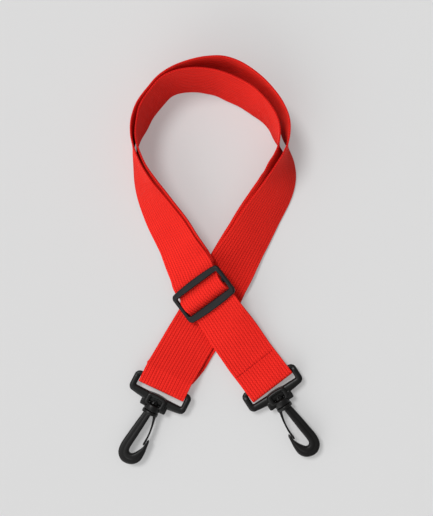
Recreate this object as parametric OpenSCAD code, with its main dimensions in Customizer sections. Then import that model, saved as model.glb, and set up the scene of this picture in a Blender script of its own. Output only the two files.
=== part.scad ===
// Adjustable luggage strap: one long webbing, a three-bar slider and two swivel snap hooks.
// The strap lies on the plane z = 0 with its loop standing on edge. Millimetres, +Z up.

/* [Webbing] */
// Width of the webbing
web_w = 38; // [37:0.5:38.5]
// Thickness of the webbing
web_t = 1.3; // [1:0.1:1.3]
// Distance from the fold at the right hook to its row of stitches
sewn_back = 22.5; // [21:0.5:24]
// Length of one stitch
stitch_l = 1.5; // [1:0.1:1.7]

/* [Slider] */
// Length of the slider, across the webbing
slider_l = 46; // [45:0.2:50]
// Width of the slider, along the webbing
slider_w = 28; // [27:0.5:29]
// Height of the slider's side rails
slider_h = 4.2; // [3.6:0.2:5]
// Width of the slider's upper bar
upper_bar = 5.4; // [4:0.2:5.4]
// Width of the slider's lower bar
lower_bar = 6.2; // [5:0.2:6.2]
// Width of the slider's centre bar
centre_bar = 5; // [4:0.2:5]

/* [Swivel base] */
// Length of the base, across the webbing
base_l = 48; // [48:0.5:52]
// Thickness of the base's rails and lower bar
base_h = 4.8; // [4:0.2:6]
// Radius of the round bar that the webbing turns about
bar_r = 1.8; // [1.5:0.1:1.8]
// Radius of the shank that the hook turns on
shank_r = 2.2; // [2:0.1:2.5]
// Radial clearance of the shank in its bore
shank_gap = 0.08; // [0.05:0.01:0.1]

/* [Hook] */
// Radius of the hook's flange
flange_r = 6.4; // [6:0.1:6.4]
// Thickness of the hook's curved part
hook_h = 5.6; // [4.6:0.2:6]
// Radius of the seat at the bottom of the hook
seat_r = 4; // [3.5:0.1:4]
// Thickness of the springy gate
gate_t = 1.7; // [1.4:0.1:1.8]

/* [Hidden] */
$fn = 48;

web_colour = [0.86, 0.15, 0.13];
thread_colour = [0.7, 0.08, 0.08];
plastic_colour = [0.09, 0.09, 0.095];

// Height of the hook axes above the floor, with the flange just clear of it
axis_z = flange_r + 0.1;
// Clear space between two faces that move past each other
gap = 0.3;

// Slider: its centre, its turn about Z, and its tilt with the right end raised
slider_at = [-11.8, -23.4, 16.4];
slider_turn = 37;
slider_tilt = 20;
slot_l = 39.8;

// Hook assemblies: centre of the flange, direction of the swivel axis, direction of the webbing
left_at = [-52.8, -113.9, axis_z];
left_turn = -117;
left_web_turn = -116;
right_at = [49.9, -109.8, axis_z];
right_turn = -57.5;
right_web_turn = -52.5;

// Along the swivel axis from the centre of the flange: strap bar, lower bar and housing
bar_u = -23.2;
lower_u = -13.8;
edge_u = -8.2;
collar_u = -5;
window_u = [-11, -6];
face_u = -1;
base_slot = 39.8;

// Webbing about the strap bar: half the clear height inside the fold, and the fold's far end
fold_in = bar_r + 0.35;
fold_r = fold_in + web_t / 2;
fold_end = 6;
sewn_z = web_t / 2 + 0.05;

// The outer run from the slider round the loop to the left hook. Each row has the place of
// the webbing's centre line in plan, its lean from flat in degrees, the height of its lower
// edge, how far inside it the return run lies, and the height of the return run's lower edge.
loop_route = [
    [-22, -5.4, 27.5, 4.7, 1.7, 1.7],
    [-25.4, 1.3, 32.5, 2.1, 2.4, 0],
    [-28.9, 8, 36, 1.1, 2.7, 0],
    [-32.5, 15, 39.5, 0.4, 2.6, 0],
    [-37, 23, 42, 0.2, 2.7, 0],
    [-41.2, 30, 45, 0, 2.7, 0],
    [-45, 36.5, 49, 0, 2.7, 0],
    [-49, 43.5, 54, 0, 2.9, 0],
    [-52.6, 50, 59, 0, 3.2, 0],
    [-56.4, 57.5, 65.5, 0, 3.4, 0],
    [-59.2, 64.5, 71, 0, 3.2, 0],
    [-61.6, 72, 77, 0, 3, 0],
    [-63.6, 80, 82, 0, 3, 0],
    [-65, 88, 86, 0, 3, 0],
    [-64.6, 97, 92.5, 0, 3.4, 0],
    [-62.2, 106.5, 99, 0, 4, 0],
    [-57.2, 117.2, 103, 0, 3.1, 0],
    [-48.5, 127.8, 104.5, 0, 2.4, 0],
    [-41, 135.5, 105.5, 0, 2.3, 0],
    [-31.5, 141, 107, 0, 3.4, 0],
    [-19.5, 145, 108.5, 0, 6, 0],
    [-8, 147, 110, 0, 9.4, 0],
    [3, 147, 110.5, 0, 11.8, 0],
    [13.8, 142.6, 111.5, 0, 11.8, 0],
    [26, 134.5, 109, 0, 9.8, 0],
    [36.5, 125.5, 105.5, 0, 9.2, 0],
    [43.8, 117.4, 102, 0, 8.8, 0],
    [48.8, 108, 99, 0, 8.1, 0],
    [50.8, 98.5, 95, 0, 7.2, 0],
    [52, 90, 86, 0, 6.8, 0],
    [51.6, 81.5, 74.5, 0, 6.2, 0],
    [50, 73, 63.5, 0, 6, 0],
    [47.8, 65, 55, 0, 5.2, 0],
    [45, 57.5, 50, 0, 4.6, 0],
    [41.5, 50.5, 46, 0, 4.1, 0],
    [37.4, 43.5, 43, 0, 3.7, 0],
    [32.7, 36, 39.5, 0.2, 3.4, 0],
    [28, 28, 36, 0.3, 3.1, 0],
    [23.4, 20, 32, 0.7, 2.6, 0],
    [18.6, 12, 27.5, 1.4, 2.2, 0],
    [13.8, 4, 21.5, 2, 1.5, 0],
    [9.2, -4, 15, 2.3, 0.8, 0],
    [4.4, -12.4, 8.5, 2.1, 0, 0],
    [-0.5, -21, 4.8, 1.8, -0.8, 0],
    [-5.8, -30, 2.4, 1.7, -1.6, 0],
    [-12, -40.8, 1.2, 1.7, -2.5, 0],
    [-18.4, -51.5, 1, 1.8, -3, 0],
    [-24.4, -61.4, 1, 2.8, -3.1, 0.3],
    [-30, -71, 0.5, 4.8, -2.9, 1.2]];

// The adjusting run from the slider to the sewn end: place, lean and height of centre line
adjusting_route = [
    [3.4, -43, -15, 12],
    [9.6, -51.8, -9.5, 10],
    [16, -61, -4.5, 8.4]];

// Smooth curve through a list of rows, with n steps between one row and the next
function blend4(a, b, c, d, t) =
    0.5 * (2 * b + (c - a) * t + (2 * a - 5 * b + 4 * c - d) * t * t
           + (3 * b - a - 3 * c + d) * t * t * t);
function row_of(p, i) = p[max(0, min(len(p) - 1, i))];
function smooth(p, n) = [
    for (i = [0 : len(p) - 2], k = [0 : n - 1])
        blend4(row_of(p, i - 1), p[i], p[i + 1], row_of(p, i + 2), k / n),
    p[len(p) - 1]];
function smooth_loop(p, n) = [
    for (i = [0 : len(p) - 1], k = [0 : n - 1])
        blend4(p[(i + len(p) - 1) % len(p)], p[i], p[(i + 1) % len(p)],
               p[(i + 2) % len(p)], k / n)];
function unit(v) = v / norm(v);
function heading(p, i) = unit(row_of(p, i + 1) - row_of(p, i - 1));

// Points of a frame turned about Z and tilted with its +X end raised
function placed(at, turn, tilt, p) =
    let (x = p[0] * cos(tilt) - p[2] * sin(tilt), z = p[0] * sin(tilt) + p[2] * cos(tilt))
    at + [x * cos(turn) - p[1] * sin(turn), x * sin(turn) + p[1] * cos(turn), z];
function on_slider(p) = placed(slider_at, slider_turn, slider_tilt, p);
function bar_centre(at, turn) = at + bar_u * [cos(turn), sin(turn), 0];

// Centre height of webbing that leans by an angle with its lower edge at a height
function centre_z(lean, low) = low + web_w / 2 * sin(lean) + web_t / 2 * abs(cos(lean));

// Layers at the slider, as heights in its own frame, and where the long runs begin
layer_z = [-2.45, -3.85, -5.25];
exit_y = slider_w / 2 + 1.3;

// Straight layers behind the fold at the left hook begin this far behind the bar
turn_back = 9;

// The two long runs as rows of [x, y, z, lean]
plan = [for (r = loop_route) [r[0], r[1]]];
function inside(i) = let (h = heading(plan, i)) [h[1], -h[0]];
function row4(p, lean) = [p[0], p[1], p[2], lean];
left_bar = bar_centre(left_at, left_turn);
function left_layer(side, back) =
    left_bar + [-back * cos(left_web_turn), -back * sin(left_web_turn), side * fold_r];
outer_rows = concat(
    [row4(on_slider([0.5, exit_y, layer_z[0]]), slider_tilt)],
    [for (r = loop_route) [r[0], r[1], centre_z(r[2], r[3]), r[2]]],
    [row4(left_layer(1, turn_back + gap), 0)]);
return_rows = concat(
    [row4(on_slider([0.5, exit_y, layer_z[2]]), slider_tilt)],
    [for (i = [0 : len(loop_route) - 1])
        let (r = loop_route[i], q = plan[i] + r[4] * inside(i))
        [q[0], q[1], centre_z(r[2], r[5]), r[2]]],
    [row4(left_layer(-1, turn_back + gap), 0)]);
// Behind the bar at the right hook: the tail's end, and where the adjusting run begins
tail_back = sewn_back - 1.5;
run_back = sewn_back;
right_bar = bar_centre(right_at, right_turn);
function right_layer(back) =
    right_bar + [-back * cos(right_web_turn), -back * sin(right_web_turn), sewn_z];
adjusting_rows = concat(
    [row4(on_slider([0, -slider_w / 2 - gap, layer_z[0]]), -slider_tilt)],
    [for (r = adjusting_route) [r[0], r[1], r[3], r[2]]],
    [row4(right_layer(run_back + gap), 0)]);

// Axes of the webbing at row i of a smooth route: across, and out of its upper face.
// Positive lean raises the edge on the right of the direction of travel.
function across(c, i) =
    let (h = heading(c, i), d = unit([h[0], h[1], h[2]]), r = unit([d[1], -d[0], 0]),
         up = cross(r, d))
    cos(c[i][3]) * r + sin(c[i][3]) * up;
function centre(c, i) = [c[i][0], c[i][1], c[i][2]];

// Near its two ends a run skews, so that its ends lie along the bars that they come from.
// The axis is as long as keeps the webbing's width square to its direction.
skew_rings = 8;
function ease(x) = let (t = max(0, min(1, x))) t * t * (3 - 2 * t);
function skewed(c, i, ends) =
    let (w = across(c, i), first = ease(i / skew_rings),
         last = ease((len(c) - 1 - i) / skew_rings),
         a = unit(first * last * w + (1 - first) * ends[0] + (1 - last) * ends[1]))
    a / (a * w);
function face_up(c, i, ends) =
    let (h = heading(c, i)) unit(cross(skewed(c, i, ends), [h[0], h[1], h[2]]));
function right_of(turn) = [sin(turn), -cos(turn), 0];
slider_axis = [cos(slider_turn) * cos(slider_tilt), sin(slider_turn) * cos(slider_tilt),
               sin(slider_tilt)];
loop_ends = [slider_axis, right_of(left_web_turn)];
adjusting_ends = [-slider_axis, right_of(right_web_turn)];

// Cross-section of the webbing, with its edges chamfered and its faces in four parts
web_edge = 0.4;
section = concat(
    [[web_w / 2, 0]],
    [for (k = [2 : -1 : -2]) [k / 2 * (web_w / 2 - web_edge), web_t / 2]],
    [[-web_w / 2, 0]],
    [for (k = [-2 : 2]) [k / 2 * (web_w / 2 - web_edge), -web_t / 2]]);

// A ribbon along smooth rows, as one closed mesh
function rings(rows, steps, ends) = let (c = smooth(rows, steps))
    [for (i = [0 : len(c) - 1]) [for (s = section)
        centre(c, i) + s[0] * skewed(c, i, ends) + s[1] * face_up(c, i, ends)]];
outer_rings = rings(outer_rows, 2, loop_ends);
return_rings = rings(return_rows, 2, loop_ends);
function part_of(list, first, last) = [for (i = [first : last]) list[i]];

// Each long run is in two parts, which meet at this ring, at the far side of the loop
loop_ring = 46;
last_ring = len(outer_rings) - 1;
module ribbon(rings) {
    m = len(section);
    points = [for (ring = rings, p = ring) p];
    sides = [for (i = [0 : len(rings) - 2], j = [0 : m - 1], half = [0, 1])
        let (a = i * m + j, b = i * m + (j + 1) % m) half == 0 ? [a, b, b + m] : [a, b + m, a + m]];
    end = (len(rings) - 1) * m;
    first = [for (j = [1 : m - 2]) [0, j + 1, j]];
    last = [for (j = [1 : m - 2]) [end, end + j, end + j + 1]];
    polyhedron(points, concat(sides, first, last), convexity = 10);
}

// A strip of even thickness along a smooth path, drawn flat
function left_of(h) = [-h[1], h[0]];
function strip_side(c, t, s) =
    [for (i = [0 : len(c) - 1]) c[i] + s * t / 2 * left_of(heading(c, i))];
function round_end(c, i, t, s) = [for (a = [72, 36, 0, -36, -72])
    c[i] + t / 2 * (s * cos(a) * heading(c, i) + s * sin(a) * left_of(heading(c, i)))];
function reversed(p) = [for (i = [len(p) - 1 : -1 : 0]) p[i]];
module strip(path, steps, t = web_t, round_ends = false) {
    c = smooth(path, steps);
    n = len(c) - 1;
    polygon(concat(
        strip_side(c, t, 1), round_ends ? round_end(c, n, t, 1) : [],
        reversed(strip_side(c, t, -1)), round_ends ? round_end(c, 0, t, -1) : []));
}

// A strip's path runs along X and Z and is as wide as the webbing along Y
module folded_strip(path, steps) {
    rotate([90, 0, 0]) linear_extrude(web_w, center = true) strip(path, steps);
}

module at_slider() {
    translate(slider_at) rotate([0, 0, slider_turn]) rotate([0, -slider_tilt, 0]) children();
}

module at_bar(at, turn, web_turn) {
    translate(bar_centre(at, turn)) rotate([0, 0, web_turn]) children();
}

module at_hook(at, turn, flip) {
    translate(at) rotate([0, 0, turn]) mirror([0, flip ? 1 : 0, 0]) children();
}

// ---- Webbing ----

// A half turn about the strap bar, as points of a path from the upper to the lower layer
function half_turn() = [for (a = [75 : -30 : -75])
    [fold_end - fold_r - web_t / 2 + fold_r * cos(a), fold_r * sin(a)]];

module hook_end_fold() {
    upper = [[-run_back, sewn_z], [-tail_back, sewn_z], [-13, sewn_z], [-9, 1.2],
             [-4.5, 2.1], [0, fold_r]];
    lower = [for (i = [5 : -1 : 1]) [upper[i][0], -upper[i][1]]];
    color(web_colour) at_bar(right_at, right_turn, right_web_turn)
        folded_strip(concat(upper, half_turn(), lower), 3);
}

module adjusting_run() {
    color(web_colour) ribbon(rings(adjusting_rows, 4, adjusting_ends));
}

module outer_left_run() {
    color(web_colour) ribbon(part_of(outer_rings, 0, loop_ring));
}

module outer_right_run() {
    color(web_colour) ribbon(part_of(outer_rings, loop_ring, last_ring));
}

module return_left_run() {
    color(web_colour) ribbon(part_of(return_rings, 0, loop_ring));
}

module return_right_run() {
    color(web_colour) ribbon(part_of(return_rings, loop_ring, last_ring));
}

module hook_turn_fold() {
    upper = [[-turn_back, fold_r], [-turn_back / 2, fold_r], [0, fold_r]];
    lower = [for (i = [2 : -1 : 0]) [upper[i][0], -fold_r]];
    color(web_colour) at_bar(left_at, left_turn, left_web_turn)
        folded_strip(concat(upper, half_turn(), lower), 3);
}

// Bars of the slider in its own frame: places along the webbing and heights
bar_top = slider_h / 2;
bar_low = -1.6;
centre_bar_y = [-2.3, -2.3 + centre_bar];
centre_bar_z = [-1.5, 0.9];

// The webbing over the centre bar, from under the lower bar to under the upper bar
module window_fold() {
    end = slider_w / 2 + 1;
    path = [[-slider_w / 2, layer_z[0]], [-10, layer_z[0]], [-8.2, -2.55], [-6.8, -2.3],
            [-5.8, -1.2], [-5.1, 0.2], [-4.3, 1.7], [-3, 2.8], [-1.1, 3.2], [1, 3.2],
            [2.9, 2.85], [4.6, 1.8], [5.7, 0.2], [6.4, -1.1], [7.3, -2.1], [8.6, -2.45],
            [11, layer_z[0]], [end, layer_z[0]]];
    color(web_colour) at_slider() rotate([0, 0, 90]) folded_strip(path, 3);
}

// The return run's sewn end, looped round the centre bar and back beneath the window fold
module slider_end_fold() {
    end = slider_w / 2 + 1;
    bar_mid = (centre_bar_z[0] + centre_bar_z[1]) / 2;
    r = (centre_bar_z[1] - centre_bar_z[0]) / 2 + 0.15 + web_t / 2;
    y = centre_bar_y[0] + r - 0.15 - web_t / 2;
    loop = [for (a = [90 : 30 : 270]) [y + r * cos(a), bar_mid + r * sin(a)]];
    path = concat(
        [[end, layer_z[1]], [10.5, layer_z[1]], [7.8, -3.75], [6.2, -3.1], [5.1, -1.9],
         [4.4, -0.6], [3.7, 0.6], [2.6, 1.45], [0.8, 1.7]],
        loop,
        [[1, -2.4], [2.6, -2.9], [4, -3.8], [5.5, -4.7], [7.5, -5.2], [10.5, layer_z[2]],
         [end, layer_z[2]]]);
    color(web_colour) at_slider() rotate([0, 0, 90]) folded_strip(path, 3);
}

// The tail lies half way between the two long runs for this many of their rings
tail_rings = 4;
module slider_end_tail() {
    color(web_colour) ribbon([for (i = [0 : tail_rings]) (outer_rings[i] + return_rings[i]) / 2]);
}

// A row of stitches across the webbing, their middles at a height above it
thread_w = 0.5;
stitch_pitch = 2;
stitches = floor((web_w - 4) / stitch_pitch);
module stitch_row(height, thread_h) {
    for (i = [0 : stitches - 1])
        translate([0, (i - (stitches - 1) / 2) * stitch_pitch, height])
            cube([thread_w, stitch_l, thread_h], center = true);
}

module hook_end_stitching() {
    thread_h = 0.3;
    height = sewn_z + (web_t + thread_h) / 2;
    color(thread_colour) at_bar(right_at, right_turn, right_web_turn)
        translate([fold_end - sewn_back, 0, 0])
            for (side = [-1, 1]) stitch_row(side * height, thread_h);
}

// The hidden row of stitches that holds the tail to the return run, seen on its lower face
module slider_end_stitching() {
    thread_h = 0.2;
    sewn_ring = 3;
    c = smooth(return_rows, 2);
    p = centre(c, sewn_ring);
    w = unit(skewed(c, sewn_ring, loop_ends));
    n = face_up(c, sewn_ring, loop_ends);
    d = cross(w, n);
    m = [[d[0], w[0], n[0], p[0]], [d[1], w[1], n[1], p[1]],
         [d[2], w[2], n[2], p[2]], [0, 0, 0, 1]];
    color(thread_colour) multmatrix(m) stitch_row(-web_t / 2 - thread_h / 2 - 0.03, thread_h);
}

// ---- Slider ----

module rounded_bar(y0, y1, z0, z1, length, r) {
    rotate([0, 90, 0]) linear_extrude(length, center = true)
        rounded_outline(-z1, -z0, y0, y1, r);
}

// A rectangle with round corners, made of rectangles and circles
module rounded_outline(x0, x1, y0, y1, r) {
    translate([x0 + r, y0]) square([x1 - x0 - 2 * r, y1 - y0]);
    translate([x0, y0 + r]) square([x1 - x0, y1 - y0 - 2 * r]);
    for (x = [x0 + r, x1 - r], y = [y0 + r, y1 - r]) translate([x, y]) circle(r);
}

module slider() {
    l = slider_l / 2;
    w = slider_w / 2;
    color(plastic_colour) at_slider() {
        difference() {
            translate([0, 0, bar_low]) linear_extrude(bar_top - bar_low)
                rounded_outline(-l, l, -w, w, 3.2);
            translate([-slot_l / 2, -w + lower_bar, bar_low - 1])
                cube([slot_l, slider_w - lower_bar - upper_bar, slider_h + 2]);
        }
        rounded_bar(centre_bar_y[0], centre_bar_y[1], centre_bar_z[0], centre_bar_z[1], slot_l + 1, 1);
    }
}

// ---- Swivel bases ----

housing_v = 8.2;
housing_z = 4.8;
window_v = 4.4;
shoulder_v = 10.6;

module swivel_base() {
    v = base_l / 2;
    s = base_slot / 2;
    bore_r = shank_r + shank_gap;
    difference() {
        union() {
            // Side rails, lower bar and the shoulders that run up to the housing
            for (m = [-1, 1]) translate([bar_u, m > 0 ? s : -v, -base_h / 2])
                cube([edge_u - bar_u - 2.5, v - s, base_h]);
            for (m = [-1, 1]) translate([bar_u, m * (v + s) / 2, 0])
                rotate([90, 0, 0]) cylinder(r = base_h / 2, h = v - s, center = true);
            translate([0, 0, -base_h / 2]) linear_extrude(base_h) {
                polygon([[lower_u, -v], [lower_u, v], [edge_u - 2.5, v], [edge_u, v - 3],
                         [-6.5, shoulder_v], [-6.5, -shoulder_v], [edge_u, 3 - v],
                         [edge_u - 2.5, -v]]);
            }
            // Round bar for the webbing
            translate([bar_u, 0, 0]) rotate([90, 0, 0])
                cylinder(r = bar_r, h = base_slot + 1, center = true);
            // Housing with its ears, and the round collar that meets the hook
            translate([lower_u, 0, 0]) rotate([90, 0, 90]) linear_extrude(collar_u - lower_u)
                rounded_outline(-housing_v, housing_v, -housing_z, housing_z, 3);
            translate([collar_u - 1, -shoulder_v, -2]) cube([3.6, 2 * shoulder_v, 4]);
            translate([collar_u - 1, 0, 0]) rotate([0, 90, 0])
                cylinder(r = 6.2, h = face_u - collar_u + 1);
        }
        translate([window_u[0], -window_v, -housing_z - 1])
            cube([window_u[1] - window_u[0], 2 * window_v, 2 * housing_z + 2]);
        translate([window_u[1] - 1, 0, 0]) rotate([0, 90, 0])
            cylinder(r = bore_r, h = face_u - window_u[1] + 2);
    }
}

module left_swivel_base() {
    color(plastic_colour) at_hook(left_at, left_turn, false) swivel_base();
}

module right_swivel_base() {
    color(plastic_colour) at_hook(right_at, right_turn, true) swivel_base();
}

// ---- Hooks, drawn with the gate on +Y and the tip along +X ----

// Outline of the hook: out along its back, round the bottom, back to the nose and inside
hook_outline = [[1, -4.8], [12, -6.4], [22, -7.8], [32, -9.1], [39, -7.9], [43.2, -3.4],
                [43.8, 2], [41.4, 7.2], [36.4, 10], [29, 10.1], [23.5, 9.2], [20.7, 8.3],
                [22, 7.5], [26, 7.7], [31.4, 7.4], [31.4, -2.2], [26, -1.8], [18, -1.1],
                [9, -0.5], [1, 0.2]];
seat_at = [31.4, 2.2];

module hook() {
    flange_back = face_u + gap;
    flange_front = 2;
    head = [-10.4, -6.3];
    rotate([0, 90, 0]) {
        translate([0, 0, flange_back]) cylinder(r = flange_r, h = flange_front - flange_back);
        translate([0, 0, head[1] - 1]) cylinder(r = shank_r, h = flange_back - head[1] + 2);
        translate([0, 0, head[0]]) cylinder(r = 3.7, h = head[1] - head[0]);
    }
    difference() {
        translate([0, 0, -hook_h / 2]) linear_extrude(hook_h)
            polygon(smooth_loop(hook_outline, 4));
        translate([seat_at[0], seat_at[1], -hook_h]) cylinder(r = seat_r, h = 2 * hook_h);
    }
}

// Gate: a springy tongue from its root beside the flange to a tip tucked inside the nose
gate_root = [3.2, 4.2];
gate_path = [gate_root, [8.5, 5.7], [15, 6.1], [20, 5.7], [25.4, 5.4]];
gate_h = 4.6;

module gate() {
    translate([0, 0, -gate_h / 2]) linear_extrude(gate_h)
        strip(gate_path, 4, gate_t, true);
}

module left_hook() {
    color(plastic_colour) at_hook(left_at, left_turn, false) hook();
}

module right_hook() {
    color(plastic_colour) at_hook(right_at, right_turn, true) hook();
}

module left_gate() {
    color(plastic_colour) at_hook(left_at, left_turn, false) gate();
}

module right_gate() {
    color(plastic_colour) at_hook(right_at, right_turn, true) gate();
}

hook_end_fold();
adjusting_run();
outer_left_run();
outer_right_run();
hook_turn_fold();
return_left_run();
return_right_run();
window_fold();
slider_end_fold();
slider_end_tail();
hook_end_stitching();
slider_end_stitching();
slider();
left_swivel_base();
right_swivel_base();
left_hook();
right_hook();
left_gate();
right_gate();
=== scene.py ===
import math

import bmesh
import bpy
import numpy as np
from mathutils import Matrix, Vector


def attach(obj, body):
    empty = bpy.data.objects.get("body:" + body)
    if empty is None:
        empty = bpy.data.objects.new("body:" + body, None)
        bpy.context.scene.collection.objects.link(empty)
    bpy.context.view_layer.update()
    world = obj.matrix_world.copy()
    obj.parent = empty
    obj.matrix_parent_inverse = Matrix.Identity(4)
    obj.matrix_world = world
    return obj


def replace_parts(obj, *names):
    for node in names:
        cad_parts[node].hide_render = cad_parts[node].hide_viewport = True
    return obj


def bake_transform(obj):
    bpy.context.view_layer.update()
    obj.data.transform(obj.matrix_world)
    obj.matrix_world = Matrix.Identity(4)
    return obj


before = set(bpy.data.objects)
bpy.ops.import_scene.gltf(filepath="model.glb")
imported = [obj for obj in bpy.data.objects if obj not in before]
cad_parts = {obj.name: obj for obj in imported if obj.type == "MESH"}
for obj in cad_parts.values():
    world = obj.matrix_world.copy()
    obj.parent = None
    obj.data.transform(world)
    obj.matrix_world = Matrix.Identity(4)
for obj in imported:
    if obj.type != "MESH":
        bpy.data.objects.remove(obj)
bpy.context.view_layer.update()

UP = np.array([0.0, 0.0, 1.0])

# ---- Camera: straight down, with +Y at the top of the picture ----

CAMERA_AT = (-0.002, 0.0041, 0.75)
CAMERA_LENS = 67.43


def add_object(name, data):
    made = bpy.data.objects.new(name, data)
    bpy.context.scene.collection.objects.link(made)
    return made


def add_camera():
    data = bpy.data.cameras.new("camera")
    data.sensor_width = 36
    data.lens = CAMERA_LENS
    camera = add_object("camera", data)
    camera.location = CAMERA_AT
    bpy.context.scene.camera = camera


add_camera()

# ---- Sizes and places that part.scad gives in millimetres ----

WEB_W = 0.038
WEB_T = 0.0013
SLIDER_AT = (-0.0118, -0.0234, 0.0164)
SLIDER_TURN = 37
SLIDER_TILT = 20
SLIDER_L = 0.046
SLIDER_W = 0.028
SLOT_L = 0.0398
UPPER_BAR = 0.0054
LOWER_BAR = 0.0062
BAR_LOW = -0.0016
BAR_TOP = 0.0021
LAYER_Z = (-0.00245, -0.00385, -0.00525)
EXIT_Y = 0.0153
AXIS_Z = 0.0065
BAR_U = -0.0232
FOLD_R = 0.0028
FOLD_END = 0.006
SEWN_BACK = 0.0225
SEWN_Z = 0.0007
TAIL_BACK = 0.021
TURN_BACK = 0.009
GAP = 0.0003

# Each hook assembly: centre of its flange, direction of its axis, direction of its webbing,
# and whether it is mirrored
LEFT = {"name": "left", "at": (-0.0528, -0.1139, AXIS_Z), "turn": -117, "web_turn": -116, "flip": 1}
RIGHT = {"name": "right", "at": (0.0499, -0.1098, AXIS_Z), "turn": -57.5, "web_turn": -52.5, "flip": -1}

# The outer run from the slider round the loop to the left hook. Each row has the centre
# line's place in plan, its lean from flat in degrees, the height of its lower edge, how far
# inside it the return run lies, and the height of the return run's lower edge.
LOOP_ROUTE = [
    (-0.022, -0.0054, 27.5, 0.0047, 0.0017, 0.0017),
    (-0.0254, 0.0013, 32.5, 0.0021, 0.0024, 0),
    (-0.0289, 0.008, 36, 0.0011, 0.0027, 0),
    (-0.0325, 0.015, 39.5, 0.0004, 0.0026, 0),
    (-0.037, 0.023, 42, 0.0002, 0.0027, 0),
    (-0.0412, 0.03, 45, 0, 0.0027, 0),
    (-0.045, 0.0365, 49, 0, 0.0027, 0),
    (-0.049, 0.0435, 54, 0, 0.0029, 0),
    (-0.0526, 0.05, 59, 0, 0.0032, 0),
    (-0.0564, 0.0575, 65.5, 0, 0.0034, 0),
    (-0.0592, 0.0645, 71, 0, 0.0032, 0),
    (-0.0616, 0.072, 77, 0, 0.003, 0),
    (-0.0636, 0.08, 82, 0, 0.003, 0),
    (-0.065, 0.088, 86, 0, 0.003, 0),
    (-0.0646, 0.097, 92.5, 0, 0.0034, 0),
    (-0.0622, 0.1065, 99, 0, 0.004, 0),
    (-0.0572, 0.1172, 103, 0, 0.0031, 0),
    (-0.0485, 0.1278, 104.5, 0, 0.0024, 0),
    (-0.041, 0.1355, 105.5, 0, 0.0023, 0),
    (-0.0315, 0.141, 107, 0, 0.0034, 0),
    (-0.0195, 0.145, 108.5, 0, 0.006, 0),
    (-0.008, 0.147, 110, 0, 0.0094, 0),
    (0.003, 0.147, 110.5, 0, 0.0118, 0),
    (0.0138, 0.1426, 111.5, 0, 0.0118, 0),
    (0.026, 0.1345, 109, 0, 0.0098, 0),
    (0.0365, 0.1255, 105.5, 0, 0.0092, 0),
    (0.0438, 0.1174, 102, 0, 0.0088, 0),
    (0.0488, 0.108, 99, 0, 0.0081, 0),
    (0.0508, 0.0985, 95, 0, 0.0072, 0),
    (0.052, 0.09, 86, 0, 0.0068, 0),
    (0.0516, 0.0815, 74.5, 0, 0.0062, 0),
    (0.05, 0.073, 63.5, 0, 0.006, 0),
    (0.0478, 0.065, 55, 0, 0.0052, 0),
    (0.045, 0.0575, 50, 0, 0.0046, 0),
    (0.0415, 0.0505, 46, 0, 0.0041, 0),
    (0.0374, 0.0435, 43, 0, 0.0037, 0),
    (0.0327, 0.036, 39.5, 0.0002, 0.0034, 0),
    (0.028, 0.028, 36, 0.0003, 0.0031, 0),
    (0.0234, 0.02, 32, 0.0007, 0.0026, 0),
    (0.0186, 0.012, 27.5, 0.0014, 0.0022, 0),
    (0.0138, 0.004, 21.5, 0.002, 0.0015, 0),
    (0.0092, -0.004, 15, 0.0023, 0.0008, 0),
    (0.0044, -0.0124, 8.5, 0.0021, 0, 0),
    (-0.0005, -0.021, 4.8, 0.0018, -0.0008, 0),
    (-0.0058, -0.03, 2.4, 0.0017, -0.0016, 0),
    (-0.012, -0.0408, 1.2, 0.0017, -0.0025, 0),
    (-0.0184, -0.0515, 1, 0.0018, -0.003, 0),
    (-0.0244, -0.0614, 1, 0.0028, -0.0031, 0.0003),
    (-0.03, -0.071, 0.5, 0.0048, -0.0029, 0.0012),
]

# The adjusting run from the slider to its sewn end: place, lean and height of centre line
ADJUSTING_ROUTE = [
    (0.0034, -0.043, -15, 0.012),
    (0.0096, -0.0518, -9.5, 0.01),
    (0.016, -0.061, -4.5, 0.0084),
]


# ---- Curves, frames of reference and rings ----


def smooth(rows, steps):
    """A Catmull-Rom curve through rows of numbers, with that many steps from row to row."""
    rows = np.array(rows, float)
    ends = np.vstack([rows[:1], rows, rows[-1:]])
    made = []
    for a, b, c, d in zip(ends[:-3], ends[1:-2], ends[2:-1], ends[3:]):
        for t in np.arange(steps) / steps:
            made.append(0.5 * (2 * b + (c - a) * t + (2 * a - 5 * b + 4 * c - d) * t**2
                               + (3 * b - a - 3 * c + d) * t**3))
    return np.array([*made, rows[-1]])


def unit(v):
    return v / np.linalg.norm(v, axis=-1, keepdims=True)


def headings(points):
    """The direction of travel at each point of a line."""
    before = np.vstack([points[:1], points[:-1]])
    after = np.vstack([points[1:], points[-1:]])
    return unit(after - before)


def lengths_along(points):
    """The distance along a line at each of its points."""
    return np.concatenate([[0], np.cumsum(np.linalg.norm(np.diff(points, axis=0), axis=1))])


def ease(x):
    x = np.clip(x, 0, 1)
    return x * x * (3 - 2 * x)


def turned(degrees):
    return Matrix.Rotation(math.radians(degrees), 4, "Z")


def placed(points, matrix):
    """Points moved by a matrix."""
    m = np.array(matrix)
    return np.array(points, float) @ m[:3, :3].T + m[:3, 3]


SLIDER_FRAME = (Matrix.Translation(SLIDER_AT) @ turned(SLIDER_TURN)
                @ Matrix.Rotation(math.radians(-SLIDER_TILT), 4, "Y"))
SLIDER_AXIS = np.array(SLIDER_FRAME.col[0][:3])


def hook_frame(side):
    """From a hook's own frame, with its axis along +X and its gate on +Y, to the shared one."""
    mirror = Matrix.Diagonal((1, side["flip"], 1, 1))
    return Matrix.Translation(side["at"]) @ turned(side["turn"]) @ mirror


def heading_of(degrees):
    return np.array([math.cos(math.radians(degrees)), math.sin(math.radians(degrees)), 0])


def right_of(degrees):
    return np.array([math.sin(math.radians(degrees)), -math.cos(math.radians(degrees)), 0])


def strap_bar(side):
    """The middle of the bar that the webbing turns about."""
    return np.array(side["at"]) + BAR_U * heading_of(side["turn"])


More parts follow.
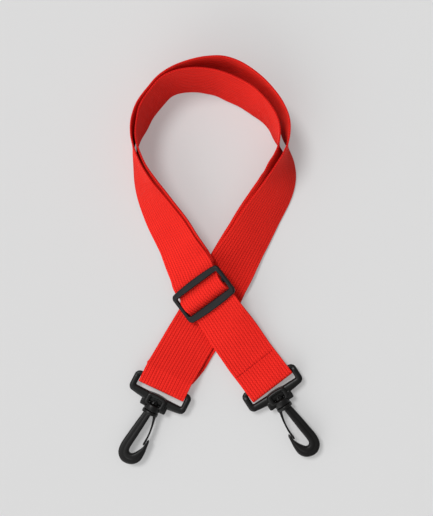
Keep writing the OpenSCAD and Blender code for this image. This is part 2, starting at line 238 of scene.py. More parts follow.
class Rings:
    """The centre, the axis across and the face normal of webbing, one of each per ring."""

    def __init__(self, centres, across, normals):
        self.centres = centres
        self.across = across
        self.normals = normals

    def __getitem__(self, part):
        return Rings(self.centres[part], self.across[part], self.normals[part])

    def __len__(self):
        return len(self.centres)

    def turned_over(self):
        """The same webbing followed the other way, with its other face up."""
        return Rings(self.centres[::-1], self.across[::-1], -self.normals[::-1])

    def joined(self, *others):
        every = [self, *others]
        return Rings(np.vstack([r.centres for r in every]), np.vstack([r.across for r in every]),
                     np.vstack([r.normals for r in every]))

    def along(self):
        return lengths_along(self.centres)


def run_rings(rows, steps, ends, skew_rows):
    """Rings along rows of x, y, z and lean. Near its ends a run skews onto the bars' axes."""
    curve = smooth(rows, steps)
    centres = curve[:, :3]
    lean = np.radians(curve[:, 3:])
    ahead = headings(centres)
    right = unit(np.stack([ahead[:, 1], -ahead[:, 0], 0 * ahead[:, 0]], axis=1))
    square = np.cos(lean) * right + np.sin(lean) * np.cross(right, ahead)
    at = np.arange(len(centres))[:, None] / (skew_rows * steps)
    first = ease(at)
    last = ease(at[::-1])
    skewed = unit(first * last * square + (1 - first) * ends[0] + (1 - last) * ends[1])
    across = skewed / (skewed * square).sum(1, keepdims=True)
    return Rings(centres, across, unit(np.cross(across, ahead)))


def path_rings(path, steps, start, ahead, up, across):
    """Rings along a path in the plane of two axes, from a starting point."""
    curve = smooth(path, steps)
    centres = start + curve[:, :1] * ahead + curve[:, 1:] * up
    wide = np.tile(across, (len(centres), 1))
    return Rings(centres, wide, unit(np.cross(wide, headings(centres))))


# ---- Meshes ----

SHARP_DEGREES = 38


def add_mesh(name, points, faces, material, uvs=None):
    """A smooth-shaded object from points and faces. uvs has one pair for each point."""
    mesh = bpy.data.meshes.new(name)
    mesh.from_pydata([tuple(p) for p in points], [], faces)
    if uvs is not None:
        corners = np.zeros(len(mesh.loops), np.int32)
        mesh.loops.foreach_get("vertex_index", corners)
        layer = mesh.uv_layers.new(name="web")
        layer.data.foreach_set("uv", np.array(uvs, np.float32)[corners].ravel())
    mesh.shade_smooth()
    mesh.set_sharp_from_angle(angle=math.radians(SHARP_DEGREES))
    mesh.materials.append(material)
    mesh.update()
    return add_object(name, mesh)


def grid_faces(rows, columns, close_rows=False):
    """Faces between rings of points, each ring closed."""
    made = []
    for i in range(rows if close_rows else rows - 1):
        a = i * columns
        b = (i + 1) % rows * columns
        for j in range(columns):
            k = (j + 1) % columns
            made.append((a + j, b + j, b + k, a + k))
    return made


def flipped(faces):
    """Faces that look the other way."""
    return [tuple(reversed(f)) for f in faces]


def tube_faces(rings, columns):
    """Faces between rings of points, with a cap at each end."""
    last = (rings - 1) * columns
    return [*grid_faces(rings, columns), tuple(range(columns)),
            tuple(last + k for k in reversed(range(columns)))]


class Shapes:
    """Several closed shapes gathered into one piece."""

    def __init__(self):
        self.points = []
        self.faces = []

    def add(self, points, faces, matrix=None):
        if matrix is not None:
            points = placed(points, matrix)
            if matrix.determinant() < 0:
                faces = flipped(faces)
        start = len(self.points)
        self.points.extend(tuple(p) for p in points)
        self.faces.extend(tuple(start + i for i in f) for f in faces)

    def make(self, name, material, matrix=None):
        gathered = Shapes()
        gathered.add(self.points, self.faces, matrix)
        return add_mesh(name, gathered.points, gathered.faces, material)


# ---- Materials ----

WEB_RED = (0.86, 0.025, 0.016)
# WEB_DEEP is the painted shade in the webbing weave's grooves; the thread's twist bands use it too.
WEB_DEEP = (0.4, 0.001, 0.003)
THREAD_RED = (0.36, 0.004, 0.005)
SLIDER_BLACK = (0.0045, 0.0045, 0.0055)
HOOK_BLACK = (0.003, 0.0028, 0.0027)
SHEEN_RED = (1, 0.12, 0.08, 1)
WEB_COLUMNS = 16
RIB_PITCH = 0.0017


class Nodes:
    """Short calls for building a material's node tree."""

    def __init__(self, name):
        self.material = bpy.data.materials.new(name)
        self.material.use_nodes = True
        self.tree = self.material.node_tree
        self.shader = self.tree.nodes["Principled BSDF"]

    def put(self, socket, value):
        if isinstance(value, bpy.types.NodeSocket):
            self.tree.links.new(value, socket)
        else:
            socket.default_value = value

    def math(self, operation, a, b=0.0, c=0.0):
        node = self.tree.nodes.new("ShaderNodeMath")
        node.operation = operation
        for socket, value in zip(node.inputs, (a, b, c)):
            self.put(socket, value)
        return node.outputs[0]

    def mix(self, share, a, b):
        node = self.tree.nodes.new("ShaderNodeMix")
        node.data_type = "RGBA"
        colours = [s for s in node.inputs if s.type == "RGBA"]
        self.put(node.inputs[0], share)
        for socket, value in zip(colours, (a, b)):
            self.put(socket, value if isinstance(value, bpy.types.NodeSocket) else (*value, 1))
        return next(s for s in node.outputs if s.type == "RGBA")

    def noise(self, scale, detail=2.0):
        node = self.tree.nodes.new("ShaderNodeTexNoise")
        node.inputs["Scale"].default_value = scale
        node.inputs["Detail"].default_value = detail
        self.put(node.inputs["Vector"], self.place())
        return node.outputs[0]

    def place(self):
        return self.tree.nodes.new("ShaderNodeTexCoord").outputs["Object"]

    def bump(self, height, distance, strength=1.0, normal=None):
        node = self.tree.nodes.new("ShaderNodeBump")
        node.inputs["Strength"].default_value = strength
        node.inputs["Distance"].default_value = distance
        self.put(node.inputs["Height"], height)
        if normal is not None:
            self.put(node.inputs["Normal"], normal)
        return node.outputs[0]

    def finish(self, colour, roughness, normal, **plain):
        self.put(self.shader.inputs["Base Color"], colour)
        self.put(self.shader.inputs["Roughness"], roughness)
        self.put(self.shader.inputs["Normal"], normal)
        for name, value in plain.items():
            self.shader.inputs[name.replace("_", " ")].default_value = value
        return self.material


def ridges(n, along, power):
    """Rounded ridges, one for each unit along, with sharp grooves between them."""
    wave = n.math("ABSOLUTE", n.math("SINE", n.math("MULTIPLY", along, math.pi)))
    return n.math("POWER", wave, power)


def webbing_material():
    """Woven webbing: lengthwise columns of two yarns each, with staggered crosswise ribs."""
    n = Nodes("webbing")
    uv = n.tree.nodes.new("ShaderNodeUVMap")
    uv.uv_map = "web"
    split = n.tree.nodes.new("ShaderNodeSeparateXYZ")
    n.put(split.inputs[0], uv.outputs[0])
    along, over = split.outputs[0], split.outputs[1]
    column = n.math("MULTIPLY_ADD", over, WEB_COLUMNS / WEB_W, WEB_COLUMNS / 2)
    yarn = n.math("MULTIPLY", column, 2.0)
    stagger = n.math("MULTIPLY", n.math("MODULO", n.math("FLOOR", yarn), 2.0), 0.5)
    rib = n.math("MULTIPLY_ADD", along, 1 / RIB_PITCH, stagger)
    column_ridge = ridges(n, column, 0.7)
    yarn_ridge = ridges(n, yarn, 0.6)
    rib_ridge = ridges(n, rib, 1.0)
    knit = n.math("MULTIPLY", rib_ridge, n.math("MULTIPLY_ADD", yarn_ridge, 0.5, 0.5))
    fuzz = n.noise(2600, 3)
    height = n.math("MULTIPLY_ADD", column_ridge, 0.45, n.math("MULTIPLY", knit, 0.55))
    height = n.math("MULTIPLY_ADD", fuzz, 0.12, height)
    worn = n.noise(55, 3)
    # Painted shade: the colour darkens towards WEB_DEEP in the weave's low grooves, where shade falls,
    # and varies at random with the worn noise.
    groove_shade_and_tone = n.math("MULTIPLY_ADD", worn, 0.3, n.math("MULTIPLY_ADD", height, 1.25, -0.25))
    colour = n.mix(groove_shade_and_tone, WEB_DEEP, WEB_RED)
    roughness = n.math("MULTIPLY_ADD", fuzz, 0.2, 0.6)
    return n.finish(colour, roughness, n.bump(height, 0.00045, 1.0),
                    Sheen_Weight=0.2, Sheen_Roughness=0.45, Sheen_Tint=SHEEN_RED,
                    Specular_IOR_Level=0.06)


def thread_material():
    """Sewing thread with a fine twist."""
    n = Nodes("thread")
    twist = n.tree.nodes.new("ShaderNodeTexWave")
    twist.wave_type = "BANDS"
    twist.bands_direction = "DIAGONAL"
    twist.inputs["Scale"].default_value = 900
    n.put(twist.inputs["Vector"], n.place())
    colour = n.mix(twist.outputs[1], THREAD_RED, WEB_DEEP)
    roughness = n.math("MULTIPLY_ADD", n.noise(900), 0.25, 0.5)
    return n.finish(colour, roughness, n.bump(twist.outputs[1], 0.0001, 0.6),
                    Specular_IOR_Level=0.15)


def plastic_material(name, black, rough, grain):
    """Satin moulded plastic: fine texture, faint cloudiness and paler rubbed patches."""
    n = Nodes(name)
    cloud = n.noise(60, 4)
    fine = n.noise(1900, 3)
    rubbed = n.math("MULTIPLY", n.math("SUBTRACT", cloud, 0.45), 1.2)
    paler = tuple(2.0 * c + 0.002 for c in black)
    colour = n.mix(rubbed, black, paler)
    roughness = n.math("MULTIPLY_ADD", fine, 0.16, n.math("MULTIPLY_ADD", cloud, 0.1, rough))
    soft = n.bump(cloud, 0.0004, 0.25)
    return n.finish(colour, roughness, n.bump(fine, grain, 0.5, soft), Specular_IOR_Level=0.25)


WEBBING = webbing_material()
THREAD = thread_material()
SLIDER_PLASTIC = plastic_material("slider_plastic", SLIDER_BLACK, 0.34, 0.00012)
HOOK_PLASTIC = plastic_material("hook_plastic", HOOK_BLACK, 0.26, 0.00006)

# ---- Webbing ----

# The weave's relief and round edges, the length at each end that lies still, and the groove
# that a row of stitches pulls into a face, which wanders a little along the row
COLUMN_RELIEF = 0.0001
EDGE_ROUND = 0.0005
POINTS_A_COLUMN = 4
CALM_END = 0.07
PINCH_DEEP = 0.56
PINCH_WIDE = 0.0008
PINCH_WANDER = 0.0005


def web_section():
    """The webbing's cross-section: ridged faces and round edges, from its right edge round."""
    count = WEB_COLUMNS * POINTS_A_COLUMN
    half = WEB_W / 2 - EDGE_ROUND
    x = np.linspace(half, -half, count + 1)
    groove = 1 - np.abs(np.sin(math.pi * WEB_COLUMNS * (x / (2 * half) + 0.5))) ** 0.7
    y = WEB_T / 2 - COLUMN_RELIEF * groove
    turn = np.radians([-50, -20, 20, 50])
    edge_x = half + EDGE_ROUND * np.cos(turn)
    edge_y = WEB_T / 2 * np.sin(turn) * 0.95
    return (np.concatenate([edge_x, x, -edge_x[::-1], x[::-1]]),
            np.concatenate([edge_y, y, edge_y[::-1], -y[::-1]]))


SECTION_X, SECTION_Y = web_section()


def waves(along, seed):
    """Slight waviness of webbing that lies free, fading out towards its ends."""
    free = ease(along / CALM_END) * ease((along[-1] - along) / CALM_END)
    wave = np.sin(along / 0.0113 + seed) + 0.7 * np.sin(along / 0.0071 + 2.3 * seed)
    return free * wave


def webbing(name, rings, pinches=(), start=0.0, wavy=0.0):
    """A length of webbing along rings, pinched thinner by stitching at some places along it."""
    along = rings.along()
    thick = np.ones((len(rings), len(SECTION_X)))
    wander = PINCH_WANDER * (np.sin(SECTION_X / 0.0055) + 0.5 * np.sin(SECTION_X / 0.0021))
    for place in pinches:
        off = (along[:, None] - place - wander[None, :]) / PINCH_WIDE
        thick -= PINCH_DEEP * np.exp(-(off**2))
    lift = wavy * waves(along, 1.0)
    curl = wavy * waves(along, 2.7)
    sideways = SECTION_X[None, :, None] * rings.across[:, None, :]
    height = (SECTION_Y[None, :] * thick + lift[:, None]
              + curl[:, None] * (SECTION_X[None, :] / (WEB_W / 2)))
    points = rings.centres[:, None, :] + sideways + height[:, :, None] * rings.normals[:, None, :]
    uvs = np.stack([np.repeat(along + start, len(SECTION_X)), np.tile(SECTION_X, len(rings))], axis=1)
    faces = tube_faces(len(rings), len(SECTION_X))
    piece = add_mesh(name, points.reshape(-1, 3), faces, WEBBING, uvs)
    return piece


def centre_height(lean, low):
    """The centre's height of webbing that leans, with its lower edge at a height."""
    turn = math.radians(lean)
    return low + WEB_W / 2 * math.sin(turn) + WEB_T / 2 * abs(math.cos(turn))


def on_slider(*point):
    return placed([point], SLIDER_FRAME)[0]


# The runs start under the slider's bars, where the pieces that ride on the slider end
HIDDEN_Y = 0.0112
LOOP_STEPS = 9
ADJUSTING_STEPS = 12
FOLD_STEPS = 8

# Rows over which a run skews onto a bar's axis, the row where the loop's long piece takes over,
# the row where the tail ends, and the place between rows where the tail is sewn down
LOOP_SKEW_ROWS = 5
ADJUSTING_SKEW_ROWS = 3
SPLIT_ROW = 14
TAIL_ROW = 3
TAIL_STITCH_ROW = 2.4


def loop_rows(layer, fold_side):
    """Rows of x, y, z and lean of the outer run (layer 0) or of the return run (layer 2)."""
    plan = np.array([r[:2] for r in LOOP_ROUTE])
    ahead = headings(plan)
    rows = [(*on_slider(-0.0003, HIDDEN_Y, LAYER_Z[layer]), SLIDER_TILT),
            (*on_slider(0.0005, EXIT_Y, LAYER_Z[layer]), SLIDER_TILT)]
    for (x, y, lean, low, inset, return_low), (hx, hy) in zip(LOOP_ROUTE, ahead):
        if layer == 0:
            rows.append((x, y, centre_height(lean, low), lean))
        else:
            rows.append((x + inset * hy, y - inset * hx, centre_height(lean, return_low), lean))
    back = TURN_BACK + GAP
    end = strap_bar(LEFT) - back * heading_of(LEFT["web_turn"]) + fold_side * FOLD_R * UP
    return [*rows, (*end, 0)]


def half_turn(fold_end):
    """A half turn about a strap bar, from the upper to the lower layer."""
    middle = fold_end - FOLD_R - WEB_T / 2
    return [(middle + FOLD_R * math.cos(math.radians(a)), FOLD_R * math.sin(math.radians(a)))
            for a in range(75, -76, -30)]


def fold_rings(side, path):
    return path_rings(path, FOLD_STEPS, strap_bar(side), heading_of(side["web_turn"]), UP,
                      right_of(side["web_turn"]))


LOOP_ENDS = (SLIDER_AXIS, right_of(LEFT["web_turn"]))
OUTER = run_rings(loop_rows(0, 1), LOOP_STEPS, LOOP_ENDS, LOOP_SKEW_ROWS)
RETURN = run_rings(loop_rows(2, -1), LOOP_STEPS, LOOP_ENDS, LOOP_SKEW_ROWS)

# The ring where the loop's first leg passes from the piece at the slider to the long piece, and the
# waviness of webbing that lies free
SPLIT = SPLIT_ROW * LOOP_STEPS
WAVINESS = 0.00022


def stretching(piece):
    """The piece with its placement baked into its points."""
    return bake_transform(piece)


def add_long_webbing():
    """The loop's webbing: out from the slider, round the left hook's bar and back."""
    turn = fold_rings(LEFT, [(-TURN_BACK, FOLD_R), (-TURN_BACK / 2, FOLD_R), (0, FOLD_R),
                             *half_turn(FOLD_END),
                             (0, -FOLD_R), (-TURN_BACK / 2, -FOLD_R), (-TURN_BACK, -FOLD_R)])
    whole = OUTER.joined(turn, RETURN.turned_over())
    last = len(whole) - 1 - SPLIT
    along = whole.along()
    first = stretching(webbing("outer_webbing_at_slider", whole[:SPLIT + 1]))
    loop = webbing("loop_webbing", whole[SPLIT:last + 1], start=along[SPLIT], wavy=WAVINESS)
    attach(loop, "strap")
    end = stretching(webbing("return_webbing_at_slider", whole[last:], start=along[last]))
    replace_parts(loop, "outer_left_run", "outer_right_run", "hook_turn_fold",
                "return_left_run", "return_right_run")
    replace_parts(first, "outer_left_run")
    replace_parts(end, "return_left_run")
    return [first, loop, end]


def add_tail():
    """The return run's cut end, sewn between the two runs beyond the slider."""
    outer, back = (run[:TAIL_ROW * LOOP_STEPS + 1] for run in (OUTER, RETURN))
    rings = Rings((outer.centres + back.centres) / 2, (outer.across + back.across) / 2,
                  (outer.normals + back.normals) / 2)
    return stretching(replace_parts(webbing("tail_webbing", rings), "slider_end_tail"))


ADJUSTING = run_rings(
    [(*on_slider(0, -HIDDEN_Y, LAYER_Z[0]), -SLIDER_TILT),
     (*on_slider(0, -SLIDER_W / 2 - GAP, LAYER_Z[0]), -SLIDER_TILT),
     *((x, y, z, lean) for x, y, lean, z in ADJUSTING_ROUTE),
     (*(strap_bar(RIGHT) - (SEWN_BACK + GAP) * heading_of(RIGHT["web_turn"]) + SEWN_Z * UP), 0)],
    ADJUSTING_STEPS, (-SLIDER_AXIS, right_of(RIGHT["web_turn"])), ADJUSTING_SKEW_ROWS)

# Where the row of stitches lies behind the right hook's fold, and how much further out that
# fold reaches than the left hook's
SEWN_ROW = strap_bar(RIGHT) + (FOLD_END - SEWN_BACK) * heading_of(RIGHT["web_turn"])
RIGHT_FOLD_MORE = 0.0009


def add_adjusting_webbing():
    """From under the slider to the right hook's bar, round it and sewn back on itself."""
    upper = [(-SEWN_BACK, SEWN_Z), (-TAIL_BACK, SEWN_Z), (-0.019, SEWN_Z), (-0.0175, SEWN_Z),
             (-0.016, SEWN_Z), (-0.0145, SEWN_Z), (-0.012, SEWN_Z), (-0.009, 0.0012),
             (-0.0045, 0.0021), (0, FOLD_R)]
    lower = [(u, -z) for u, z in reversed(upper[1:])]
    fold = fold_rings(RIGHT, [*upper, *half_turn(FOLD_END + RIGHT_FOLD_MORE), *lower])
    whole = ADJUSTING.joined(fold)
    along = whole.along()
    off_row = np.linalg.norm((whole.centres - SEWN_ROW)[:, :2], axis=1)
    turn = len(whole) - len(fold) // 2
    pinches = [along[layer][off_row[layer].argmin()] for layer in (slice(turn), slice(turn, None))]
    piece = webbing("adjusting_webbing", whole, pinches)
    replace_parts(piece, "adjusting_run", "hook_end_fold")
    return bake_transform(piece)


def slider_rings(path):
    ahead, up = (np.array(SLIDER_FRAME.col[k][:3]) for k in (1, 2))
    return path_rings(path, FOLD_STEPS, np.array(SLIDER_AT), ahead, up, SLIDER_AXIS)


def add_window_webbing():
    """The hump over the centre bar, from under the lower bar to under the upper bar."""
    low = LAYER_Z[0]
    path = [(-0.0109, low), (-0.0098, low), (-0.0088, low), (-0.0079, -0.0023),
            (-0.007, -0.0015), (-0.0062, -0.0005), (-0.0053, 0.0007), (-0.0043, 0.0018),
            (-0.003, 0.0027),
            (-0.0011, 0.0032), (0.001, 0.0032), (0.0029, 0.00285), (0.0046, 0.0018),
            (0.0057, 0.0002), (0.0064, -0.0011), (0.0073, -0.0021), (0.0086, low),
            (0.0098, low), (0.0109, low)]
    piece = webbing("window_webbing", slider_rings(path))
    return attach(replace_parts(piece, "window_fold"), "slider")


def add_slider_loop():
    """The return run's sewn end, looped round the centre bar beneath the hump."""
    bar_loop = [(-0.0011 + 0.002 * math.cos(math.radians(a)),
                 -0.0003 + 0.002 * math.sin(math.radians(a))) for a in range(90, 271, 30)]
    path = [(0.0109, -0.00385), (0.0095, -0.00385), (0.0078, -0.00375), (0.0062, -0.0031),
            (0.0051, -0.0019), (0.0044, -0.0006), (0.0037, 0.0006), (0.0026, 0.00145),
            (0.0008, 0.0017), *bar_loop, (0.001, -0.0024), (0.0026, -0.0029), (0.004, -0.0038),
            (0.0055, -0.0047), (0.0075, -0.0052), (0.0095, -0.00525), (0.0109, -0.00525)]
    piece = webbing("slider_loop_webbing", slider_rings(path))
    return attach(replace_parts(piece, "slider_end_fold"), "slider")


# ---- Stitches ----

THREAD_R = 0.00027
STITCH_L = 0.0016
STITCH_PITCH = 0.002
STITCH_RISE = 0.0003
STITCH_SUNK = 0.00012
STITCHES = 17


def add_stitch(shapes, centre, along, up, seed):
    """One stitch that rises out of the webbing and dives in again, a little askew."""
    askew = 0.22 * math.sin(7.1 * seed)
    side = unit(np.cross(along, up))
    along = unit(along + askew * side)
    side = unit(np.cross(along, up))
    sides = 6
    rings = 7
    points = []
    for i in range(rings):
        t = 2 * i / (rings - 1) - 1
        rise = STITCH_RISE * (1 - t * t) - STITCH_SUNK
        middle = centre + along * (t * STITCH_L / 2) + up * rise
        r = THREAD_R * math.sqrt(max(0.12, 1 - t**6))
        for k in range(sides):
            a = 2 * math.pi * k / sides
            points.append(middle + r * (math.cos(a) * side + math.sin(a) * up))
    shapes.add(points, tube_faces(rings, sides))


def stitch_row(shapes, middle, across, up, seed):
    for k in range(STITCHES):
        place = (k - (STITCHES - 1) / 2) * STITCH_PITCH
        wander = 0.00018 * math.sin(2.9 * k + seed)
        sideways = np.cross(across, up)
        add_stitch(shapes, middle + place * across + wander * sideways, across, up, k + seed)


def add_hook_end_stitches():
    """A row through both layers behind the right hook's fold, seen on both faces."""
    shapes = Shapes()
    across = right_of(RIGHT["web_turn"])
    for face in (1, -1):
        height = face * (SEWN_Z + WEB_T / 2 * 0.72) * UP
        stitch_row(shapes, SEWN_ROW + height, across, face * UP, face)
    piece = shapes.make("hook_end_stitches", THREAD)
    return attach(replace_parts(piece, "hook_end_stitching"), "strap")


def add_slider_end_stitches():
    """The hidden row that holds the tail to the return run, on its lower face."""
    i = round(TAIL_STITCH_ROW * LOOP_STEPS)
    across = unit(RETURN.across[i])
    down = -RETURN.normals[i]
    shapes = Shapes()
    stitch_row(shapes, RETURN.centres[i] + WEB_T / 2 * 0.9 * down, across, down, 3)
    piece = shapes.make("slider_end_stitches", THREAD)
    return stretching(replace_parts(piece, "slider_end_stitching"))


# ---- Moulded plastic ----


def power(x, e):
    return np.sign(x) * np.abs(x) ** e


SIDE_POINTS = 16
CORNER_POINTS = 8


def rounded_loop(x0, x1, y0, y1, r, bows=(0, 0, 0, 0)):
    """A rectangle with round corners, anticlockwise from its lower left. The lower, right,
    upper and left sides bow outwards by bows."""
    corners = [(x1 - r, y0 + r, -90), (x1 - r, y1 - r, 0), (x0 + r, y1 - r, 90), (x0 + r, y0 + r, 180)]
    sides = [((x0 + r, y0), (x1 - r, y0), (0, -1)), ((x1, y0 + r), (x1, y1 - r), (1, 0)),
             ((x1 - r, y1), (x0 + r, y1), (0, 1)), ((x0, y1 - r), (x0, y0 + r), (-1, 0))]
    points = []
    for (a, b, out), bow, (cx, cy, turn) in zip(sides, bows, corners):
        for k in range(SIDE_POINTS):
            t = k / SIDE_POINTS
            p = (1 - t) * np.array(a) + t * np.array(b) + 4 * t * (1 - t) * bow * np.array(out)
            points.append(p)
        for k in range(CORNER_POINTS):
            angle = math.radians(turn + 90 * k / CORNER_POINTS)
            points.append(np.array([cx + r * math.cos(angle), cy + r * math.sin(angle)]))
    return np.array(points)


def between_lines(outer, inner, half_heights, middle_z, square, sides):
    """Rings of points whose rounded section runs between an outer and an inner line."""
    angles = 2 * math.pi * np.arange(sides) / sides
    c = power(np.cos(angles), square)
    s = power(np.sin(angles), square)
    middle = (outer + inner) / 2
    half = (outer - inner) / 2
    xy = middle[:, None, :] + c[None, :, None] * half[:, None, :]
    z = middle_z + s[None, :] * np.broadcast_to(half_heights, len(outer))[:, None]
    return np.concatenate([xy, z[:, :, None]], axis=2).reshape(-1, 3)


def frame_ring(outer, inner, half_heights, middle_z, square, sides):
    """A closed frame whose rounded section runs between an outer and an inner loop."""
    points = between_lines(outer, inner, half_heights, middle_z, square, sides)
    return points, grid_faces(len(outer), sides, close_rows=True)


def band(outer, inner, half_heights, square, sides=24):
    """A solid with a rounded section that runs between an outer and an inner line."""
    points = between_lines(outer, inner, half_heights, 0, square, sides)
    return points, tube_faces(len(outer), sides)


def rounded_block(x0, x1, y0, y1, z0, z1, square, rings=16, sides=32):
    """A block with softly rounded edges."""
    half = np.array([x1 - x0, y1 - y0, z1 - z0]) / 2
    middle = np.array([x1 + x0, y1 + y0, z1 + z0]) / 2
    points = []
    for t in np.linspace(-0.5, 0.5, rings + 1)[1:-1] * math.pi:
        for a in 2 * math.pi * np.arange(sides) / sides:
            flat = power(math.cos(t), square)
            points.append(middle + half * np.array([power(math.sin(t), square),
                                                    flat * power(math.cos(a), square),
                                                    flat * power(math.sin(a), square)]))
    faces = flipped(grid_faces(rings - 1, sides))
    low, high = len(points), len(points) + 1
    points += [middle - [half[0], 0, 0], middle + [half[0], 0, 0]]
    top = (rings - 2) * sides
    for k in range(sides):
        after = (k + 1) % sides
        faces.append((low, after, k))
        faces.append((high, top + k, top + after))
    return points, faces


def lathe(profile, sides=48):
    """A solid turned about the X axis from (x, radius) points, with flat or pointed ends."""
    points = [(x, r * math.cos(a), r * math.sin(a)) for x, r in profile
              for a in 2 * math.pi * np.arange(sides) / sides]
    return points, flipped(tube_faces(len(profile), sides))


def prong(profile, start, sweep, steps=8):
    """A sector of a turned solid: a closed (x, radius) outline swept through an angle."""
    points = []
    for a in np.radians(start + sweep * np.arange(steps + 1) / steps):
        points += [(x, r * math.cos(a), r * math.sin(a)) for x, r in profile]
    return points, flipped(tube_faces(steps + 1, len(profile)))


def round_disc(x0, x1, r, edge):
    """A turned disc with rounded rims."""
    turn = [math.radians(a) for a in (0, 30, 60, 90)]
    first = [(x0 + edge * (1 - math.sin(a)), r - edge * (1 - math.cos(a))) for a in reversed(turn)]
    last = [(x1 - edge * (1 - math.sin(a)), r - edge * (1 - math.cos(a))) for a in turn]
    return lathe([(x0, 0.3 * r), *first, *last, (x1, 0.3 * r)])


def plate(outline, low, high, bevel, segments):
    """An outline raised from one height to another, with its rims rounded."""
    bm = bmesh.new()
    lower = [bm.verts.new((x, y, low)) for x, y in outline]
    upper = [bm.verts.new((x, y, high)) for x, y in outline]
    bm.faces.new(list(reversed(lower)))
    bm.faces.new(upper)
    for i, a in enumerate(lower):
        j = (i + 1) % len(lower)
        bm.faces.new((a, lower[j], upper[j], upper[i]))
    rims = [e for e in bm.edges if abs(e.verts[0].co.z - e.verts[1].co.z) < 1e-7]
    bmesh.ops.bevel(bm, geom=rims, offset=bevel, segments=segments, profile=0.5,
                    affect="EDGES", clamp_overlap=True)
    bmesh.ops.recalc_face_normals(bm, faces=bm.faces)
    points = [tuple(v.co) for v in bm.verts]
    bm.verts.index_update()
    faces = [tuple(v.index for v in f.verts) for f in bm.faces]
    bm.free()
    return points, faces


SLIDER_BOW = 0.0009
SLIDER_R = 0.0038
SLOT_R = 0.0012
CENTRE_BAR = (-0.0023, 0.0027, -0.0015, 0.0009)


def add_slider():
    """The three-bar slider: a pillowed frame with its centre bar."""
    long, wide = SLIDER_L / 2, SLIDER_W / 2
    bow = SLIDER_BOW
    outer = rounded_loop(-long, long, -wide + bow, wide - bow, SLIDER_R, (bow, 0, bow, 0))
    inner = rounded_loop(-SLOT_L / 2, SLOT_L / 2, -wide + LOWER_BAR, wide - UPPER_BAR, SLOT_R)
    half = (BAR_TOP - BAR_LOW) / 2
    rail = np.abs(outer[:, 0]) / long
    shapes = Shapes()
    shapes.add(*frame_ring(outer, inner, half * (1 - 0.08 * rail), (BAR_TOP + BAR_LOW) / 2, 0.6, 24))
    reach = SLOT_L / 2 + 0.0015
    shapes.add(*rounded_block(-reach, reach, *CENTRE_BAR, 0.5))
    piece = shapes.make("slider_frame", SLIDER_PLASTIC, SLIDER_FRAME)
    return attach(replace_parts(piece, "slider"), "slider")


BASE_V = 0.024
RAIL_IN = 0.0193
LOWER_U = -0.0138
EDGE_U = -0.0082
BAR_R = 0.0018
RAIL_R = 0.0024
HOUSING_FRONT = -0.0045
HOUSING_V = 0.0082
HOUSING_H = 0.0096
WINDOW = (-0.0111, -0.0062, -0.0045, 0.0045)
EAR_U = (-0.0092, -0.0022)
EAR_V = (0.005, 0.0107)
EAR_H = 0.0052


def add_base(side):
    """A swivel base: frame for the webbing, housing with its window, ears and collar."""
    shapes = Shapes()
    outer = rounded_loop(BAR_U - BAR_R, EDGE_U, -BASE_V, BASE_V, 0.0044, (0, 0.0017, 0, 0))
    inner = rounded_loop(BAR_U + BAR_R, LOWER_U, -RAIL_IN, RAIL_IN, 0.0009)
    near_bar = ease((outer[:, 0] - BAR_U) / 0.004)
    shapes.add(*frame_ring(outer, inner, BAR_R + (RAIL_R - BAR_R) * near_bar, 0, 0.72, 20))
    housing = rounded_loop(LOWER_U, HOUSING_FRONT, -HOUSING_V, HOUSING_V, 0.0026,
                           (0, 0.0006, 0, 0.0005))
    window = rounded_loop(*WINDOW, 0.0009)
    shapes.add(*frame_ring(housing, window, HOUSING_H / 2, 0, 0.45, 24))
    for v in (-1, 1):
        low, high = sorted(v * edge for edge in EAR_V)
        shapes.add(*rounded_block(*EAR_U, low, high, -EAR_H / 2, EAR_H / 2, 0.4))
    shapes.add(*round_disc(-0.0058, -0.001, 0.0062, 0.0007))
    name = side["name"]
    piece = shapes.make(f"{name}_base_frame", HOOK_PLASTIC, hook_frame(side))
    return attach(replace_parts(piece, f"{name}_swivel_base"), f"{name}_base")


# The hook's outer side, out along its back and round the bottom to the nose, and its inner side
HOOK_OUTER = [
    (0.0008, -0.0044), (0.0035, -0.0049), (0.012, -0.0064), (0.022, -0.0079), (0.0315, -0.0091),
    (0.0385, -0.0081), (0.043, -0.0038), (0.0438, 0.0016), (0.0418, 0.0068), (0.0374, 0.0101),
    (0.0315, 0.0107), (0.0255, 0.0102), (0.0217, 0.0098), (0.0205, 0.009)]
HOOK_INNER = [
    (0.0008, 0.0021), (0.0035, 0.0015), (0.012, 0.0007), (0.021, -0.0002), (0.0295, -0.0012),
    (0.0331, -0.0013), (0.0348, -0.0005), (0.0353, 0.0008), (0.0348, 0.0024), (0.0328, 0.0041),
    (0.0297, 0.006), (0.026, 0.0075), (0.0222, 0.0079), (0.0206, 0.0084)]
HOOK_H = 0.0056
RIB_STEP = 0.0004
SHANK_R = 0.0022
PRONGS = 4
PRONG_DEGREES = 70


def add_hook(side):
    """A hook with its flange, shank and split snap head."""
    shapes = Shapes()
    outer = smooth(HOOK_OUTER, 6)
    inner = smooth(HOOK_INNER, 6)
    tip = ease((len(outer) - 1 - np.arange(len(outer))) / 8)
    half = (HOOK_H / 2) * (0.72 + 0.28 * tip)
    shapes.add(*band(outer, inner, half - RIB_STEP, 0.5))
    rib_outer = outer + 0.42 * (inner - outer)
    rib_inner = outer + 0.96 * (inner - outer)
    shapes.add(*band(rib_outer, rib_inner, half, 0.42))
    shapes.add(*round_disc(-0.0007, 0.002, 0.0064, 0.0006))
    shapes.add(*lathe([(-0.0075, 0.0012), (-0.0075, SHANK_R), (0.0005, SHANK_R), (0.0005, 0.0012)]))
    barb = [(-0.0063, 0.0007), (-0.0063, 0.0034), (-0.0066, 0.0037), (-0.0076, 0.0036),
            (-0.0098, 0.0026), (-0.0104, 0.002), (-0.0104, 0.0007)]
    for k in range(PRONGS):
        shapes.add(*prong(barb, 360 / PRONGS * k + 10, PRONG_DEGREES))
    name = side["name"]
    piece = shapes.make(f"{name}_hook_body", HOOK_PLASTIC, hook_frame(side))
    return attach(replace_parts(piece, f"{name}_hook"), f"{name}_hook")


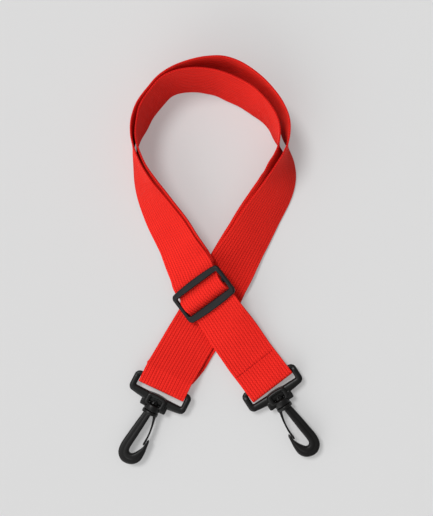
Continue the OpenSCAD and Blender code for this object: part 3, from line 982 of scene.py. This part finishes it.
# The gate's rows of x, y and thickness, from its root to its tip
GATE_PATH = [(0.001, 0.0043, 0.003), (0.0034, 0.0049, 0.0021), (0.0085, 0.0061, 0.0016),
             (0.0145, 0.0069, 0.0014), (0.0195, 0.0071, 0.0014), (0.0225, 0.0069, 0.0015),
             (0.0246, 0.0068, 0.0015)]
GATE_H = 0.0046
GATE_BEVEL = 0.0005


def add_gate(side):
    """The springy gate, a plate with rounded rims along its path from root to tip."""
    curve = smooth(GATE_PATH, 5)
    line = curve[:, :2]
    ahead = headings(line)
    left = np.stack([-ahead[:, 1], ahead[:, 0]], axis=1)
    half = curve[:, 2:] / 2
    turn = np.radians([60, 30, 0, -30, -60])[:, None]
    tip = line[-1] + half[-1] * (np.cos(turn) * ahead[-1] + np.sin(turn) * left[-1])
    outline = np.vstack([line + half * left, tip, (line - half * left)[::-1]])
    shapes = Shapes()
    shapes.add(*plate(outline[::-1], -GATE_H / 2, GATE_H / 2, GATE_BEVEL, 3))
    name = side["name"]
    matrix = hook_frame(side)
    piece = shapes.make(f"{name}_gate_tongue", HOOK_PLASTIC, matrix)
    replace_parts(piece, f"{name}_gate")
    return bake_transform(piece)


# ---- Floor and light ----

FLOOR_GREY = 0.42
FLOOR_GLOW = 0.24
SKY_GREY = 0.33
FLOOR_REACH = 30.0
FLOOR_Z = -0.0005

# Each lamp's name, strength, width in degrees and the direction that it stands in
SUNS = [
    ("key", 1.9, 18, (-0.42, 0.42, 1.0)),
    ("broad", 1.0, 80, (-0.9, -0.6, 0.75)),
    ("fill", 0.8, 50, (-0.4, -1.0, 0.42)),
]


def floor_material():
    """A plain pale floor that glows a little, so that shadows on it stay pale."""
    n = Nodes("floor")
    grain = n.noise(40, 2)
    grey = (FLOOR_GREY,) * 3
    colour = n.mix(grain, grey, tuple(0.992 * c for c in grey))
    return n.finish(colour, 0.9, n.bump(grain, 0.0002, 0.05), Specular_IOR_Level=0.0,
                    Emission_Color=(1, 1, 1, 1), Emission_Strength=FLOOR_GLOW)


def add_sun(name, energy, degrees_wide, towards):
    """A distant lamp as wide as an angle, standing in the direction of towards."""
    data = bpy.data.lights.new(name, "SUN")
    data.energy = energy
    data.angle = math.radians(degrees_wide)
    lamp = add_object(name, data)
    lamp.rotation_euler = Vector(towards).to_track_quat("Z", "Y").to_euler()


def add_stage():
    """A plain pale floor, an even sky, a key light from the upper left and two softer ones."""
    corners = [(x * FLOOR_REACH, y * FLOOR_REACH, FLOOR_Z)
               for x, y in ((-1, -1), (1, -1), (1, 1), (-1, 1))]
    floor = add_mesh("floor", corners, [(0, 1, 2, 3)], floor_material())
    world = bpy.data.worlds.new("studio")
    world.use_nodes = True
    background = world.node_tree.nodes["Background"]
    background.inputs["Color"].default_value = (1, 1, 1, 1)
    background.inputs["Strength"].default_value = SKY_GREY
    bpy.context.scene.world = world
    for sun in SUNS:
        add_sun(*sun)
    bpy.context.scene.view_settings.view_transform = "Standard"


# ---- The whole strap ----

for piece in (*add_long_webbing(), add_tail(), add_adjusting_webbing(), add_window_webbing(),
              add_slider_loop()):
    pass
add_hook_end_stitches()
add_slider_end_stitches()
add_slider()
for side in (LEFT, RIGHT):
    add_base(side)
    add_hook(side)
    add_gate(side)
add_stage()
